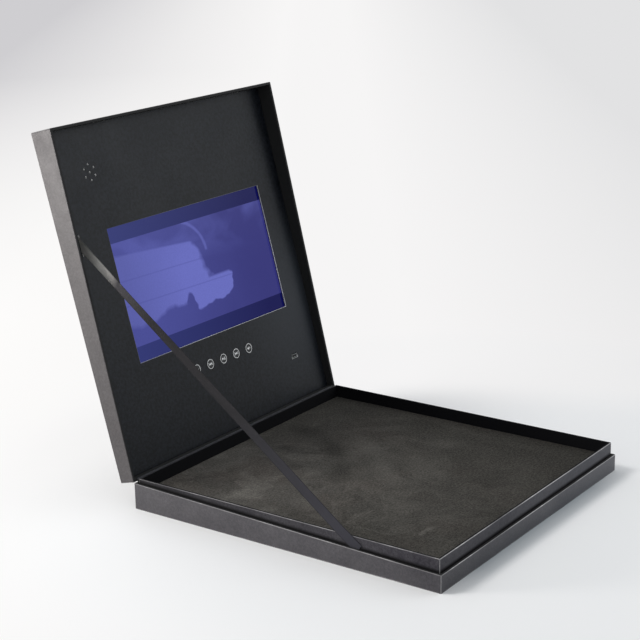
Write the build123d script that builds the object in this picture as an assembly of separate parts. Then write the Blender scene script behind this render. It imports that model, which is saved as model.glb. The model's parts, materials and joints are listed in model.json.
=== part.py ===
from build123d import *
import os
from math import cos, radians, sin, tan

# Presentation box of wrapped board, open at its stop, with a screen in the lid.
# Millimetres. The origin is the middle of the underside, the hinge is at the rear (+Y),
# and the lid's pieces are drawn in their closed places and then swung open.

# Closed box
box_width = 315.0
box_depth = 319.0
closed_height = 40.3
rear_rim_height = 24.6
front_rim_height = 16.2
rim_gap = 0.6
corner_radius = 1.2
edge_radius = 0.6
open_angle = 105.0

# Paper and board
paper = 0.25
outer_board = 2.0
inner_board = 1.5
rim_radius = 0.4

# Inner tray and pad
shoulder_gap = 0.7
shoulder_height = 28.2
pad_thickness = 13.4
pad_clearance = 0.3
pad_edge_radius = 0.8

# Screen panel and the room behind it
room_depth = 3.8
panel_board = 1.5
panel_clearance = 0.3
spacer_width = 10.0

# Display: the window is as large as the lit area of the display
window_width = 222.7
window_height = 125.3
window_x = 7.4
window_to_buttons = 25.35
display_margin_x = 6.15
display_margin_y = 8.85
display_wall = 0.4
glass_thickness = 1.1
display_tape = 0.7
back_plate_thickness = 0.3
display_lip = 1.0
part_clearance = 0.1
tape_width = 12.0

# Buttons
button_count = 5
button_pitch = 19.9
button_from_rear = 71.2
button_radius = 5.3
button_clearance = 0.1
button_travel = 0.25
button_proud = 0.1
flange_overhang = 0.8
flange_thickness = 0.3
flange_seat = 0.05
switch_size = 6.0
switch_height = 1.8
plunger_radius = 1.1
plunger_clearance = 0.05
plunger_sunk = 0.4
stem_radius = 1.5

# Circuit boards
board_thickness = 0.8
button_board_end = 13.2
button_board_width = 13.0
main_board_length = 100.0
main_board_width = 38.0
main_board_from_side = 23.5
main_board_past_port = 12.2
main_board_pad = 0.8
chip_foot = 14.0
chip_height = 1.2
memory_length = 8.0
memory_width = 6.0
memory_height = 0.9
coil_foot = 4.0
coil_height = 1.5
coil_count = 3
coil_pitch = 7.0
plug_length = 6.0
plug_width = 5.0
plug_height = 1.6
plug_inset = 10.0
flat_cable_width = 18.0
flat_cable_thickness = 0.3
flat_plug_length = 22.0
flat_plug_width = 4.0
flat_plug_height = 0.8
flat_cable_from_end = 34.0
button_cable_width = 8.0
button_cable_gap = 3.8

# Charging port
port_from_side = 43.6
port_from_rear = 45.8
port_width = 7.6
port_height = 2.9
port_end_gap = 0.25
port_wall = 0.3
port_tongue_width = 4.8
port_tongue_thickness = 0.6
port_recess = 0.4
port_slot_margin = 0.9
port_corner = 0.7
port_slot_corner = 1.5

# Speaker
speaker_from_side = 50.6
speaker_shift = 6.05
speaker_radius = 14.0
speaker_depth = 1.9
speaker_rim = 1.6
speaker_back = 0.8
cone_gap = 0.5
cone_thickness = 0.3
voice_coil_radius = 5.0
voice_coil_wall = 0.4
speaker_magnet_radius = 6.5
speaker_pad_thickness = 0.5
sound_hole_radius = 1.0
sound_ring_radius = 7.2
sound_ring_count = 6
sound_ring_turn = 0.0

# Battery
battery_length = 95.0
battery_width = 42.0
battery_gap = 0.35
battery_x = 35.0
battery_edge_radius = 1.2

# Leads
lead_radius = 0.5
lead_pitch = 2.0
lead_side_room = 8.0
lead_straight = 8.0
lead_bend = 16.0
bend_share = 0.45

# Opening switch and its magnet
magnet_radius = 5.0
magnet_play = 0.1
magnet_drop = 7.2
reed_past_board = 6.0
reed_radius = 1.0
reed_length = 10.0
reed_lead_radius = 0.4
reed_board_length = 16.0
reed_board_width = 5.0
reed_room = 22.0

# Ribbon stay
ribbon_width = 10.0
ribbon_thickness = 0.3
slit_inset = 14.5
slit_from_rear = 214.0
slit_play = 2.0
slit_width = 2.0
ribbon_rim_from_rear = 224.3
ribbon_anchor_drop = 18.0
ribbon_tail = 28.0

# Hinge strips of paper
hinge_strip_length = 303.0
hinge_leg = 12.0
inner_strip = 0.2
inner_strip_seat = 0.02
inner_strip_bridge = 0.8

# Derived places
outer_wall = outer_board + 2 * paper
inner_wall = inner_board + 2 * paper
rear = box_depth / 2
floor_top = paper + outer_board
tray_width = box_width - 2 * (outer_wall + shoulder_gap)
tray_depth = box_depth - 2 * (outer_wall + shoulder_gap)
tray_floor_top = floor_top + inner_board
pad_top = tray_floor_top + pad_thickness
lid_ceiling = closed_height - paper - outer_board
panel_back = lid_ceiling - room_depth
panel_face = panel_back - panel_board - paper
panel_width = box_width - 2 * (outer_wall + panel_clearance)
panel_depth = box_depth - 2 * (outer_wall + panel_clearance)
pivot_y = rear + paper / 2
pivot_z = rear_rim_height
switch_board_face = lid_ceiling - board_thickness
switch_face = switch_board_face - switch_height
flange_face = panel_back + flange_seat
flange_back = flange_face + flange_thickness
main_board_back = lid_ceiling - main_board_pad
main_board_face = main_board_back - board_thickness
lead_level = main_board_face - plug_height / 2
window_from_rear = button_from_rear + window_to_buttons + window_height / 2
display_length = window_width + 2 * display_margin_x
display_width = window_height + 2 * display_margin_y
backlight_thickness = room_depth - display_wall - glass_thickness - back_plate_thickness - display_tape
front_room_start = window_from_rear + display_width / 2
front_room_end = (box_depth + panel_depth) / 2 - spacer_width
front_room_middle = (front_room_start + front_room_end) / 2
right_room_start = window_x + display_length / 2
right_room_end = panel_width / 2 - spacer_width
right_room_middle = (right_room_start + right_room_end) / 2
speaker_x = speaker_from_side - box_width / 2
speaker_from_rear = front_room_middle + speaker_shift
speaker_magnet_height = room_depth - speaker_depth - speaker_pad_thickness
battery_from_rear = front_room_middle
battery_height = room_depth - paper - battery_gap
port_x = box_width / 2 - port_from_side
port_depth = lid_ceiling - port_end_gap - panel_face - port_recess
main_board_x = box_width / 2 - main_board_from_side - main_board_length / 2
main_board_from_rear = port_from_rear + main_board_past_port - main_board_width / 2
flat_cable_x = main_board_x + main_board_length / 2 - flat_cable_from_end
button_board_length = button_pitch * (button_count - 1) + switch_size + 2 * button_board_end
button_cable_x = window_x + button_pitch * (button_count - 1) / 2 + switch_size / 2 + button_cable_gap
magnet_from_rear = main_board_from_rear + reed_past_board
magnet_height = shoulder_height - magnet_drop
magnet_thickness = inner_board - magnet_play
slit_x = slit_inset - panel_width / 2
far_outside = 50.0


def from_rear(distance):
    """Y of a place at a distance from the rear face."""
    return rear - distance


def block(x0, x1, y0, y1, z0, z1):
    """Box between two corners."""
    size = Box(abs(x1 - x0), abs(y1 - y0), abs(z1 - z0))
    return Pos((x0 + x1) / 2, (y0 + y1) / 2, (z0 + z1) / 2) * size


def centred_block(x, y, length, width, z0, z1):
    """Box standing on z0 around a centre."""
    return block(x - length / 2, x + length / 2, y - width / 2, y + width / 2, z0, z1)


def prism(width, depth, z0, z1, radius=0.0):
    """Upright block around the origin, with rounded corners where a radius is given."""
    flat = RectangleRounded(width, depth, radius) if radius > 0 else Rectangle(width, depth)
    return Pos(0, 0, min(z0, z1)) * extrude(flat, abs(z1 - z0))


def disc(x, y, radius, z0, z1):
    """Upright cylinder between two levels."""
    return Pos(x, y, (z0 + z1) / 2) * Cylinder(radius, abs(z1 - z0))


def rim_side(z_rear, z_front, up):
    """Space on the tray's side of its sloping rim: below it where up is 1, above it where up is -1."""
    end = -far_outside if up > 0 else closed_height + far_outside
    slope = (z_rear - z_front) / box_depth
    back = (rear + far_outside, z_rear + slope * far_outside)
    front = (-rear - far_outside, z_front - slope * far_outside)
    outline = Polyline(back, front, (front[0], end), (back[0], end), close=True)
    half = box_width / 2 + far_outside
    return extrude(Plane.YZ * make_face(outline), half, both=True)


def soften(shape, faces, radius):
    """Round every edge of the given faces."""
    edges = ShapeList([edge for face in faces for edge in face.edges()])
    return fillet(edges, radius)


def wrapped_tray(width, depth, board, flat, skin, z_rear, z_front, up):
    """Board tray, and the paper folded over its walls. flat is the board's outside level."""
    wall = board + 2 * paper
    far = flat + up * far_outside
    inside = flat + up * board
    skin_level = flat - up * skin
    outer = prism(width, depth, skin_level, far, corner_radius) & rim_side(z_rear, z_front, up)
    rim_face = outer.faces().sort_by(Axis.Z)[-1 if up > 0 else 0]
    outer = soften(outer, [rim_face], rim_radius)
    if skin > 0:
        flat_face = outer.faces().sort_by(Axis.Z)[0 if up > 0 else -1]
        outer = soften(outer, [flat_face], edge_radius)
    core_rim = rim_side(z_rear - up * paper, z_front - up * paper, up)
    core = prism(width - 2 * paper, depth - 2 * paper, flat, far, corner_radius - paper) & core_rim
    core_void = prism(width - 2 * (paper + board), depth - 2 * (paper + board), inside, far)
    room = prism(width - 2 * wall, depth - 2 * wall, inside, far)
    tray = core - core_void
    wrap = outer - room - tray
    return tray, wrap


def strip(points, thickness, length, x=0.0):
    """Thin strip along X, whose cross-section follows points given as (y, z), mitred at its bends."""
    path = [Vector(y, z) for y, z in points]
    runs = [(end - start).normalized() for start, end in zip(path, path[1:])]
    normals = [Vector(-run.Y, run.X) for run in runs]
    upper = []
    lower = []
    for point, before, after in zip(path, normals[:1] + normals, normals + normals[-1:]):
        middle = (before + after).normalized()
        reach = middle * (thickness / 2 / middle.dot(after))
        upper.append(point + reach)
        lower.append(point - reach)
    section = make_face(Polyline(*upper, *reversed(lower), close=True))
    return Pos(x, 0, 0) * extrude(Plane.YZ * section, length / 2, both=True)


def closed_to_open(y, z):
    """Where a lid point given in its closed place lies when the lid is open."""
    dy = y - pivot_y
    dz = z - pivot_z
    turn = radians(open_angle)
    return (pivot_y + dy * cos(turn) + dz * sin(turn), pivot_z - dy * sin(turn) + dz * cos(turn))


def swing_open(shape):
    """Move a lid piece from its closed place to its open place."""
    return shape.rotate(Axis((0, pivot_y, pivot_z), (1, 0, 0)), -open_angle)


# Base

def base_pieces():
    """Outer tray of board, its wrap, and the paper under it."""
    board, wrap = wrapped_tray(
        box_width, box_depth, outer_board, paper, 0.0,
        rear_rim_height - rim_gap / 2, front_rim_height - rim_gap / 2, 1)
    underside = prism(box_width, box_depth, 0, paper, corner_radius)
    return {"base_board_tray": board, "base_wrap": wrap, "base_underside_paper": underside}


def inner_tray_pieces():
    """Shoulder tray that stands on the base's floor, with a pocket for the switch magnet."""
    board, wrap = wrapped_tray(
        tray_width, tray_depth, inner_board, floor_top, 0.0, shoulder_height, shoulder_height, 1)
    pocket_x = tray_width / 2 - paper - inner_board / 2
    pocket = Pos(pocket_x, from_rear(magnet_from_rear), magnet_height) * Rot(0, 90, 0)
    board = board - pocket * Cylinder(magnet_radius + part_clearance, inner_board)
    magnet = pocket * Cylinder(magnet_radius, magnet_thickness)
    return {"inner_tray_board": board, "inner_tray_wrap": wrap, "switch_magnet": magnet}


def foam_pad():
    """Flat pad that fills the inner tray."""
    room = inner_wall + pad_clearance
    pad = prism(tray_width - 2 * room, tray_depth - 2 * room, tray_floor_top, pad_top)
    return soften(pad, [pad.faces().sort_by(Axis.Z)[-1]], pad_edge_radius)


# Lid

def lid_pieces():
    """Lid tray of board and its wrap, which also covers the top."""
    board, wrap = wrapped_tray(
        box_width, box_depth, outer_board, closed_height - paper, paper,
        rear_rim_height + rim_gap / 2, front_rim_height + rim_gap / 2, -1)
    return {"lid_board_tray": board, "lid_wrap": wrap}


def button_places():
    """X of each button, centred under the window."""
    first = window_x - button_pitch * (button_count - 1) / 2
    return [first + button_pitch * index for index in range(button_count)]


def sound_holes():
    """Centres of the sound holes: one in the middle and a ring round it."""
    middle = (speaker_x, from_rear(speaker_from_rear))
    ring = []
    for index in range(sound_ring_count):
        turn = radians(sound_ring_turn + 360.0 * index / sound_ring_count)
        ring.append((middle[0] + sound_ring_radius * sin(turn), middle[1] + sound_ring_radius * cos(turn)))
    return [middle] + ring


def ribbon_direction():
    """Unit direction of the taut ribbon, from the base's rim to the lid's slit, in the open pose."""
    top = closed_to_open(from_rear(slit_from_rear), panel_face)
    bottom = (from_rear(ribbon_rim_from_rear), shoulder_height)
    run = Vector(top[0] - bottom[0], top[1] - bottom[1])
    return run.normalized()


def slit_length():
    """Length of the ribbon's cut across the panel, which it meets at a slant."""
    run = ribbon_direction()
    turn = radians(open_angle)
    rise = abs(run.X * sin(turn) + run.Y * cos(turn))
    return ribbon_width / rise


def panel_cutters():
    """Window, button holes, sound holes, port slot and ribbon slit."""
    z0 = panel_face - far_outside
    z1 = panel_back + far_outside
    window_y = from_rear(window_from_rear)
    cutters = [centred_block(window_x, window_y, window_width, window_height, z0, z1)]
    for x in button_places():
        cutters.append(disc(x, from_rear(button_from_rear), button_radius + button_clearance, z0, z1))
    for x, y in sound_holes():
        cutters.append(disc(x, y, sound_hole_radius, z0, z1))
    slot_width = port_width + 2 * port_slot_margin
    slot_height = port_height + 2 * port_slot_margin
    slot = extrude(RectangleRounded(slot_width, slot_height, port_slot_corner), z1 - z0)
    cutters.append(Pos(port_x, from_rear(port_from_rear), z0) * slot)
    length = slit_length() + 2 * slit_play
    cutters.append(centred_block(slit_x, from_rear(slit_from_rear), slit_width, length, z0, z1))
    return cutters


def panel_pieces():
    """Board panel and its black paper face."""
    board = prism(panel_width, panel_depth, panel_face + paper, panel_back)
    face = prism(panel_width, panel_depth, panel_face, panel_face + paper)
    for cutter in panel_cutters():
        board = board - cutter
        face = face - cutter
    return {"screen_panel_board": board, "screen_panel_paper": face}


def panel_spacers():
    """Board strips round the edge that hold the panel off the lid's board."""
    frame = prism(panel_width, panel_depth, panel_back, lid_ceiling)
    hole = prism(panel_width - 2 * spacer_width, panel_depth - 2 * spacer_width, panel_back, lid_ceiling)
    reed_y = from_rear(magnet_from_rear)
    gap = centred_block(panel_width / 2, reed_y, 2 * spacer_width, reed_room, panel_back, lid_ceiling)
    return frame - hole - gap


def display_pieces():
    """Display module: metal frame, glass, backlight, back plate and the tape that holds it."""
    y = from_rear(window_from_rear)
    length = display_length
    width = display_width
    lip_top = panel_back + display_wall
    glass_top = lip_top + glass_thickness
    light_top = glass_top + backlight_thickness
    plate_top = light_top + back_plate_thickness
    chassis = centred_block(window_x, y, length, width, panel_back, light_top)
    cavity_length = length - 2 * display_wall
    cavity_width = width - 2 * display_wall
    chassis = chassis - centred_block(window_x, y, cavity_length, cavity_width, lip_top, light_top)
    opening_length = window_width + 2 * display_lip
    opening_width = window_height + 2 * display_lip
    chassis = chassis - centred_block(window_x, y, opening_length, opening_width, panel_back, lip_top)
    inner_length = cavity_length - 2 * part_clearance
    inner_width = cavity_width - 2 * part_clearance
    glass = centred_block(window_x, y, inner_length, inner_width, lip_top, glass_top)
    backlight = centred_block(window_x, y, inner_length, inner_width, glass_top, light_top)
    back_plate = centred_block(window_x, y, length, width, light_top, plate_top)
    tape = None
    for side in (-1, 1):
        tape_y = y + side * (width - tape_width) / 2
        band = centred_block(window_x, tape_y, length, tape_width, plate_top, lid_ceiling)
        tape = band if tape is None else tape + band
    return {
        "lcd_frame": chassis,
        "lcd_glass": glass,
        "lcd_backlight": backlight,
        "lcd_back_plate": back_plate,
        "lcd_tape": tape,
    }


def button_piece(x):
    """Round cap, with a flange behind the panel that keeps it in."""
    y = from_rear(button_from_rear)
    cap = disc(x, y, button_radius, panel_face - button_proud, flange_face)
    flange = disc(x, y, button_radius + flange_overhang, flange_face, flange_back)
    return cap + flange


def plunger_piece(x):
    """Plunger of one switch, from the cap's back to the switch's bore."""
    y = from_rear(button_from_rear)
    head = disc(x, y, stem_radius, flange_back, switch_face - button_travel - part_clearance)
    stem = disc(x, y, plunger_radius, flange_back, switch_face + plunger_sunk)
    return head + stem


def button_board_pieces():
    """Strip of circuit board with the switch housings, glued to the lid's board."""
    y = from_rear(button_from_rear)
    board = centred_block(
        window_x, y, button_board_length, button_board_width, switch_board_face, lid_ceiling)
    housings = None
    for x in button_places():
        housing = centred_block(x, y, switch_size, switch_size, switch_face, switch_board_face)
        bore_end = switch_face + plunger_sunk + button_travel + part_clearance
        housing = housing - disc(x, y, plunger_radius + plunger_clearance, switch_face, bore_end)
        housings = housing if housings is None else housings + housing
    return {"button_board": board, "switch_housings": housings}


def main_board_pieces():
    """Main board with a cut-out for the port, its foam pads, and the parts on it."""
    back = main_board_back
    front = main_board_face
    x = main_board_x
    y = from_rear(main_board_from_rear)
    board = centred_block(x, y, main_board_length, main_board_width, front, back)
    port_hole_length = port_width + 2 * part_clearance
    port_hole_width = port_height + 2 * part_clearance
    port_y = from_rear(port_from_rear)
    board = board - centred_block(port_x, port_y, port_hole_length, port_hole_width, front, back)
    pads = None
    for side in (-1, 1):
        pad_x = x + side * (main_board_length - tape_width) / 2
        pad = centred_block(pad_x, y, tape_width, main_board_width - tape_width, back, lid_ceiling)
        pads = pad if pads is None else pads + pad
    left = x - main_board_length / 2
    chip = centred_block(x - chip_foot, y, chip_foot, chip_foot, front - chip_height, front)
    memory_x = x - 2 * chip_foot - memory_length / 2
    memory = centred_block(memory_x, y, memory_length, memory_width, front - memory_height, front)
    parts = chip + memory
    for index in range(coil_count):
        coil_x = left + coil_pitch * (index + 1)
        coil_y = y + coil_foot
        parts = parts + centred_block(coil_x, coil_y, coil_foot, coil_foot, front - coil_height, front)
    return {"main_board": board, "main_board_pads": pads, "main_board_chips": parts}


def port_pieces():
    """Charging socket that stands in the main board's cut-out and opens in the panel's slot."""
    y = from_rear(port_from_rear)
    mouth = panel_face + port_recess
    end = mouth + port_depth
    shell = extrude(RectangleRounded(port_width, port_height, port_corner), port_depth)
    room_width = port_width - 2 * port_wall
    room_height = port_height - 2 * port_wall
    room_outline = RectangleRounded(room_width, room_height, port_corner - port_wall)
    room = extrude(room_outline, port_depth - port_wall)
    socket = Pos(port_x, y, mouth) * (shell - room)
    tongue = centred_block(
        port_x, y, port_tongue_width, port_tongue_thickness, mouth + port_wall, end - port_wall)
    return {"usb_socket_shell": socket, "usb_socket_tongue": tongue}


def plug_place(side):
    """Centre of the lead plug at the main board's left (-1) or right (1) edge."""
    x = main_board_x + side * (main_board_length - plug_length) / 2
    x = x - (plug_inset if side > 0 else 0)
    y = from_rear(main_board_from_rear) + side * -(main_board_width / 2 - plug_width)
    return x, y


def plug_piece(side):
    """Small plug for a pair of leads, on the main board."""
    x, y = plug_place(side)
    return centred_block(x, y, plug_length, plug_width, main_board_face - plug_height, main_board_face)


def flat_cable_pieces():
    """Flat cables of the display and the buttons, and the display cable's socket."""
    half = flat_cable_thickness / 2
    front = main_board_face
    socket_face = front - flat_plug_height
    socket_level = socket_face - half
    board_edge = from_rear(main_board_from_rear) - main_board_width / 2
    socket_y = board_edge + flat_plug_width
    socket = centred_block(flat_cable_x, socket_y, flat_plug_length, flat_plug_width, socket_face, front)
    display_edge = from_rear(window_from_rear) + display_width / 2
    display_level = panel_back + display_wall + glass_thickness
    cable = strip(
        [(display_edge + half, display_level), (display_edge + tape_width / 2, display_level),
         (board_edge - half, socket_level), (socket_y + half, socket_level)],
        flat_cable_thickness, flat_cable_width, flat_cable_x)
    button_edge = from_rear(button_from_rear) + button_board_width / 2
    button_level = switch_board_face - half
    button_cable = strip(
        [(button_edge - flat_plug_width, button_level), (button_edge, button_level),
         (board_edge, front - half), (board_edge + flat_plug_width, front - half)],
        flat_cable_thickness, button_cable_width, button_cable_x + button_cable_width / 2)
    return {"lcd_cable_socket": socket, "lcd_flat_cable": cable, "button_flat_cable": button_cable}


def speaker_pieces():
    """Thin speaker behind the sound holes: ring, cone with its voice coil, magnet and pad."""
    y = from_rear(speaker_from_rear)
    x = speaker_x
    ring_top = panel_back + speaker_depth
    inner_radius = speaker_radius - speaker_rim
    frame = disc(x, y, speaker_radius, panel_back, ring_top)
    frame = frame - disc(x, y, inner_radius, panel_back, ring_top - speaker_back)
    cone_low = panel_back + cone_gap
    cone_top = cone_low + cone_thickness
    coil = disc(x, y, voice_coil_radius, cone_top, ring_top - speaker_back)
    coil = coil - disc(x, y, voice_coil_radius - voice_coil_wall, cone_top, ring_top - speaker_back)
    cone = disc(x, y, inner_radius, cone_low, cone_top) + coil
    magnet = disc(x, y, speaker_magnet_radius, ring_top, ring_top + speaker_magnet_height)
    gasket = disc(x, y, speaker_magnet_radius, ring_top + speaker_magnet_height, lid_ceiling)
    return {"speaker_frame": frame, "speaker_cone": cone, "speaker_magnet": magnet, "speaker_pad": gasket}


def battery_pieces():
    """Flat battery cell and the tape that holds it to the lid's board."""
    y = from_rear(battery_from_rear)
    low = lid_ceiling - paper - battery_height
    cell = centred_block(battery_x, y, battery_length, battery_width, low, lid_ceiling - paper)
    cell = fillet(cell.edges().filter_by(Axis.X), battery_edge_radius)
    tape_length = battery_length - tape_width
    tape = centred_block(
        battery_x, y, tape_length, battery_width - tape_width, lid_ceiling - paper, lid_ceiling)
    return {"battery_cell": cell, "battery_tape": tape}


def lead(points, z):
    """Round insulated wire at one level, in straight runs joined by arcs."""
    corners = [Vector(x, y, z) for x, y in points]
    radii = []
    for before, corner, after in zip(corners, corners[1:], corners[2:]):
        turn = (corner - before).get_angle(after - corner)
        shorter = min((corner - before).length, (after - corner).length)
        radii.append(bend_share * shorter / tan(radians(turn / 2)))
    path = FilletPolyline(*corners, radius=radii)
    section = Plane(path @ 0, z_dir=path % 0) * Circle(lead_radius)
    solid = sweep(section, path)
    ratio = solid.volume / (path.length * section.area)
    print("lead radii", [round(radius, 1) for radius in radii], "volume over section times length", ratio)
    return solid


def battery_leads():
    """Pair of leads from the battery's end, round the display's corner and down to the right plug."""
    plug_x, plug_y = plug_place(1)
    cell_end = battery_x + battery_length / 2
    start_y = from_rear(battery_from_rear)
    side_x = right_room_middle
    below_display = from_rear(window_from_rear) + display_width / 2
    solids = {}
    for name, side in (("battery_lead_red", 0.5), ("battery_lead_black", -0.5)):
        shift = side * lead_pitch
        points = [
            (cell_end, start_y + shift),
            (side_x - lead_bend - shift, start_y + shift),
            (side_x - shift, start_y + lead_bend + shift),
            (side_x - shift, below_display),
            (plug_x - shift, plug_y - plug_width / 2 - lead_straight),
            (plug_x - shift, plug_y - plug_width / 2),
        ]
        solids[name] = lead(points, lead_level)
    return solids


def speaker_leads():
    """Pair of leads from the speaker down the left side and along the hinge to the left plug."""
    plug_x, plug_y = plug_place(-1)
    side_x = window_x - display_length / 2 - lead_side_room
    start_y = from_rear(speaker_from_rear) + speaker_radius
    solids = {}
    for name, side in (("speaker_lead_red", 0.5), ("speaker_lead_black", -0.5)):
        shift = side * lead_pitch
        points = [
            (speaker_x + shift, start_y),
            (speaker_x + shift, start_y + lead_straight),
            (side_x + shift, start_y + lead_straight + lead_bend),
            (side_x + shift, plug_y - 2 * lead_bend - shift),
            (side_x + 2 * lead_bend + shift, plug_y - shift),
            (plug_x - plug_length / 2, plug_y - shift),
        ]
        solids[name] = lead(points, lead_level)
    return solids


def reed_pieces():
    """Glass reed switch on a small board in a gap of the spacers, with leads to the main board."""
    x = (panel_width - spacer_width) / 2
    y = from_rear(magnet_from_rear)
    board = centred_block(x, y, reed_board_width, reed_board_length, switch_board_face, lid_ceiling)
    reed = Pos(x, y, switch_board_face - reed_radius) * Rot(90, 0, 0) * Cylinder(reed_radius, reed_length)
    board_x = main_board_x + main_board_length / 2
    leads = None
    for side in (-1, 1):
        lead_y = y + side * reed_length / 2
        run = x - reed_board_width / 2 - board_x
        wire = Pos(board_x + run / 2, lead_y, main_board_back - reed_lead_radius) * Rot(0, 90, 0)
        wire = wire * Cylinder(reed_lead_radius, run)
        leads = wire if leads is None else leads + wire
    return {"reed_board": board, "reed_switch": reed, "reed_leads": leads}


# Pieces across the hinge

def hinge_outer_strip():
    """Paper hinge on the outside of both rear walls, folded at the pivot."""
    lower = (pivot_y, pivot_z - hinge_leg)
    upper = closed_to_open(pivot_y, pivot_z + hinge_leg)
    return strip([lower, (pivot_y, pivot_z), upper], paper, hinge_strip_length)


def hinge_inner_strip():
    """Paper that lines the two rear rims and joins them."""
    half = inner_strip / 2
    slope = (rear_rim_height - front_rim_height) / box_depth
    inner_end = rear - outer_wall
    near_pivot = rear - inner_strip_bridge
    base_drop = rim_gap / 2 - half - inner_strip_seat
    base_points = [(y, rear_rim_height - slope * (rear - y) - base_drop) for y in (inner_end, near_pivot)]
    lid_points = [closed_to_open(y, rear_rim_height - slope * (rear - y) + base_drop)
                  for y in (near_pivot, inner_end)]
    return strip(base_points + lid_points, inner_strip, hinge_strip_length)


def ribbon_section(centre, width, thickness):
    """Four corners of the ribbon's cross-section, from its whole width and thickness as vectors."""
    across = width / 2
    through = thickness / 2
    return [centre - across - through, centre + across - through,
            centre + across + through, centre - across + through]


def banded_solid(sections):
    """Solid through four-cornered sections, with each twisted side as two flat triangles."""
    loops = [sections[0], sections[-1]]
    for near, far in zip(sections, sections[1:]):
        for index in range(4):
            following = (index + 1) % 4
            loops.append([near[index], near[following], far[following]])
            loops.append([near[index], far[following], far[index]])
    faces = [Face(Wire.make_polygon(loop)) for loop in loops]
    return Solid(Shell(faces))


def ribbon_stay():
    """Taut ribbon from between the base walls to the lid's slit, and its tail behind the panel."""
    run = ribbon_direction()
    along = Vector(0, run.X, run.Y)
    across = Vector(0, -run.Y, run.X) * ribbon_width
    gap_x = -(box_width / 2 - outer_wall - shoulder_gap / 2)
    rim = Vector(gap_x, from_rear(ribbon_rim_from_rear), shoulder_height)
    anchor = rim - along * ribbon_anchor_drop
    over_rim = rim + along * (ribbon_width / 2)
    side = Vector(ribbon_thickness, 0, 0)

    def lid_point(x, distance, z):
        y, z = closed_to_open(from_rear(distance), z)
        return Vector(x, y, z)

    turn = radians(open_angle)
    slit_along = Vector(0, cos(turn), -sin(turn)) * -slit_length()
    inward = Vector(0, -sin(turn), -cos(turn)) * ribbon_thickness
    rise = ribbon_width / slit_length()
    drift = (1 - rise ** 2) ** 0.5 / rise
    fold = (side + inward).normalized() * ribbon_thickness
    depth_behind = panel_back - panel_face
    back_level = panel_back + ribbon_thickness
    tail_run = ribbon_tail * rise
    tail_shift = tail_run * drift
    behind = slit_from_rear + depth_behind * drift
    fold_x = slit_x + ribbon_thickness
    flat_x = fold_x + ribbon_thickness + slit_width / 2
    tail_end = lid_point(slit_x + tail_run, behind + tail_shift, back_level)
    sections = [
        ribbon_section(anchor, across, side),
        ribbon_section(over_rim, across, side),
        ribbon_section(lid_point(slit_x, slit_from_rear, panel_face), slit_along, side),
        ribbon_section(lid_point(slit_x, behind, panel_back), slit_along, side),
        ribbon_section(lid_point(fold_x, behind, back_level), slit_along, fold),
        ribbon_section(lid_point(flat_x, behind, back_level), slit_along, inward),
        ribbon_section(tail_end, slit_along, inward),
    ]
    return banded_solid(sections)


def write_parts():
    """Write every piece to its own file."""
    pieces = {}
    pieces.update(base_pieces())
    pieces.update(inner_tray_pieces())
    pieces["foam_pad"] = foam_pad()
    lid = {}
    lid.update(lid_pieces())
    lid.update(panel_pieces())
    lid["panel_spacers"] = panel_spacers()
    lid.update(display_pieces())
    lid.update(button_board_pieces())
    lid.update(main_board_pieces())
    lid.update(port_pieces())
    lid["battery_plug"] = plug_piece(1)
    lid["speaker_plug"] = plug_piece(-1)
    lid.update(flat_cable_pieces())
    lid.update(speaker_pieces())
    lid.update(battery_pieces())
    lid.update(battery_leads())
    lid.update(speaker_leads())
    lid.update(reed_pieces())
    for index, x in enumerate(button_places()):
        lid["button_cap_%d" % (index + 1)] = button_piece(x)
        lid["switch_plunger_%d" % (index + 1)] = plunger_piece(x)
    for name, shape in lid.items():
        pieces[name] = swing_open(shape)
    pieces["hinge_strip_outer"] = hinge_outer_strip()
    pieces["hinge_strip_inner"] = hinge_inner_strip()
    pieces["ribbon_stay"] = ribbon_stay()
    os.makedirs("parts", exist_ok=True)
    for name, shape in pieces.items():
        export_step(shape, "parts/%s.step" % name)


write_parts()
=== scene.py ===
import json
import math

import bmesh
import bpy
from mathutils import Matrix, Vector, noise


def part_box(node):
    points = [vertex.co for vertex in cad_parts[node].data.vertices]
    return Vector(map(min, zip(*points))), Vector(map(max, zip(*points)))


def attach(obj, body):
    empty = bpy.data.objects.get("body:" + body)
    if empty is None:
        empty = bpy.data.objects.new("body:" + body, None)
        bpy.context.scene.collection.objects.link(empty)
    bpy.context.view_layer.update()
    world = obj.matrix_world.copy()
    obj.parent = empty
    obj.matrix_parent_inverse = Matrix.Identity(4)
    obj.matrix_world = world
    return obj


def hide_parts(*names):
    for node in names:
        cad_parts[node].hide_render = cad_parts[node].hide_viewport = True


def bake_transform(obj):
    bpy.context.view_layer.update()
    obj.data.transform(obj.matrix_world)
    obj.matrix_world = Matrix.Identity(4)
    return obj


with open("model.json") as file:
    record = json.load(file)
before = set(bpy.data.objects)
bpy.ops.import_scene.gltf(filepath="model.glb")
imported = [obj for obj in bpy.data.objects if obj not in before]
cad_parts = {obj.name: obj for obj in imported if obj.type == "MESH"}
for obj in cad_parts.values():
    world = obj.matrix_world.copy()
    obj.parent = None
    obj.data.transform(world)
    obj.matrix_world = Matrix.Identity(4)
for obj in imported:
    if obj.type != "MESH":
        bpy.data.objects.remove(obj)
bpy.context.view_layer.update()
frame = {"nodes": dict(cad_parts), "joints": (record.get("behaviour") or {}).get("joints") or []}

# Presentation box with a screen in its lid, open at its stop.
# Metres. X runs along the hinge, the hinge is at the rear (+Y), and Z is up.

MM = 0.001

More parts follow.
